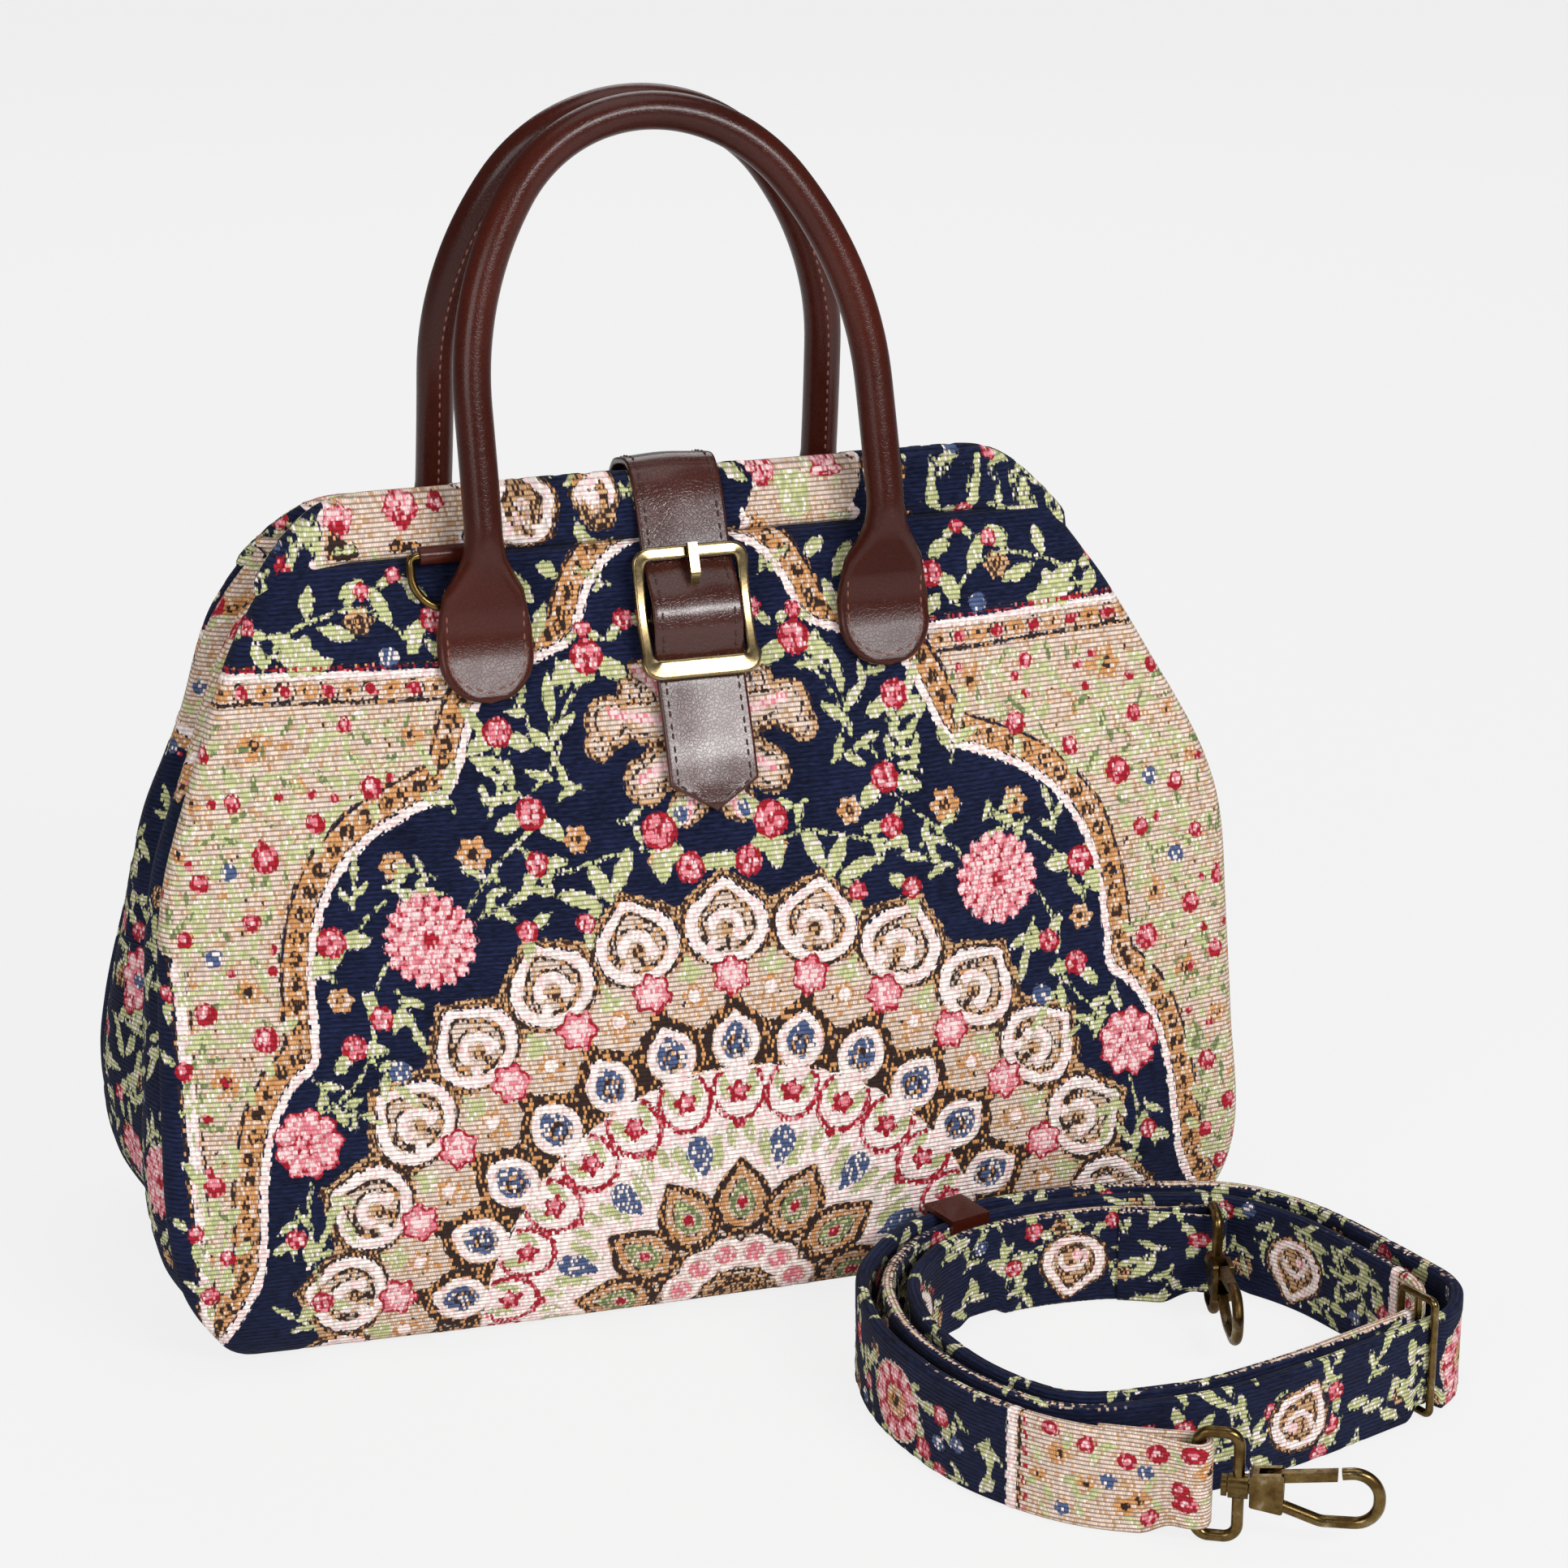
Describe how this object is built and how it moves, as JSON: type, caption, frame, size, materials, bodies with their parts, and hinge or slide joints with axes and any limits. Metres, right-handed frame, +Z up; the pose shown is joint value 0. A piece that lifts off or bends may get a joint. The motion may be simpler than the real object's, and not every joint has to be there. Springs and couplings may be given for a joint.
{
  "type": "carpet bag",
  "caption": "Tapestry carpet bag with rolled leather handles, a buckled strap over its framed mouth, side gussets and a detached shoulder strap with snap hooks.",
  "frame": {"origin": "on the floor under the middle of the bag's base", "axes": "+X to the right seen from the buckle side, -Y to the buckle side, +Z up"},
  "size_m": [0.3776, 0.3615, 0.3748],
  "materials": {
    "tapestry": "woven",
    "strap_tapestry": "woven",
    "leather": "polished",
    "brass": "aged",
    "aged_brass": "aged",
    "wire": "drawn",
    "board": "matte"
  },
  "bodies": {
    "bag": {"front_panel": "tapestry", "rear_panel": "tapestry", "left_gusset": "tapestry", "right_gusset": "tapestry", "base_panel": "tapestry", "front_casing": "tapestry", "rear_casing": "tapestry", "base_board": "board", "front_frame_wire": "wire", "rear_frame_wire": "wire", "front_handle": "leather", "rear_handle": "leather", "closing_strap": "leather", "buckle_chape": "leather", "front_ring_loop": "leather", "rear_ring_loop": "leather", "buckle_frame": "brass", "buckle_tongue": "brass", "shoulder_strap": "strap_tapestry", "strap_slider": "aged_brass", "strap_keeper": "leather"},
    "front_ring": {"front_d_ring": "brass"},
    "rear_ring": {"rear_d_ring": "brass"},
    "hook_a_eye": {"hook_a_eye": "aged_brass"},
    "hook_a_body": {"hook_a_body": "aged_brass", "hook_a_pin": "aged_brass"},
    "hook_a_gate": {"hook_a_gate": "aged_brass"},
    "hook_b_eye": {"hook_b_eye": "aged_brass"},
    "hook_b_body": {"hook_b_body": "aged_brass", "hook_b_pin": "aged_brass"},
    "hook_b_gate": {"hook_b_gate": "aged_brass"}
  },
  "joints": [
    {"name": "front_ring_swing", "type": "hinge", "parent": "bag", "child": "front_ring", "pos_m": [-0.0735, -0.02231, 0.24], "axis": [-1, 0, 0], "range_deg": [0, 3.5]},
    {"name": "rear_ring_swing", "type": "hinge", "parent": "bag", "child": "rear_ring", "pos_m": [0.0735, 0.02231, 0.24], "axis": [1, 0, 0], "range_deg": [0, 3.5]},
    {"name": "hook_a_turn", "type": "hinge", "parent": "bag", "child": "hook_a_eye", "pos_m": [0.08401, -0.254, 0.0183], "axis": [0, 0, 1], "range_deg": [-50, 15]},
    {"name": "hook_a_swivel", "type": "hinge", "parent": "hook_a_eye", "child": "hook_a_body", "pos_m": [0.08401, -0.254, 0.0183], "axis": [0.8829, -0.4695, 0], "continuous": true},
    {"name": "hook_a_gate", "type": "hinge", "parent": "hook_a_body", "child": "hook_a_gate", "pos_m": [0.10246, -0.26381, 0.0197], "axis": [0.4695, 0.8829, 0], "range_deg": [0, 25], "stiffness_Nm_per_rad": 0.02, "springref_deg": -17.19},
    {"name": "hook_b_turn", "type": "hinge", "parent": "bag", "child": "hook_b_eye", "pos_m": [0.14639, -0.11697, 0.0183], "axis": [0, 0, 1], "range_deg": [-18, 25]},
    {"name": "hook_b_swivel", "type": "hinge", "parent": "hook_b_eye", "child": "hook_b_body", "pos_m": [0.14639, -0.11697, 0.0183], "axis": [-0.2334, -0.9724, 0], "continuous": true},
    {"name": "hook_b_gate", "type": "hinge", "parent": "hook_b_body", "child": "hook_b_gate", "pos_m": [0.14151, -0.1373, 0.0197], "axis": [0.9724, -0.2334, 0], "range_deg": [0, 25], "stiffness_Nm_per_rad": 0.02, "springref_deg": -17.19}
  ]
}
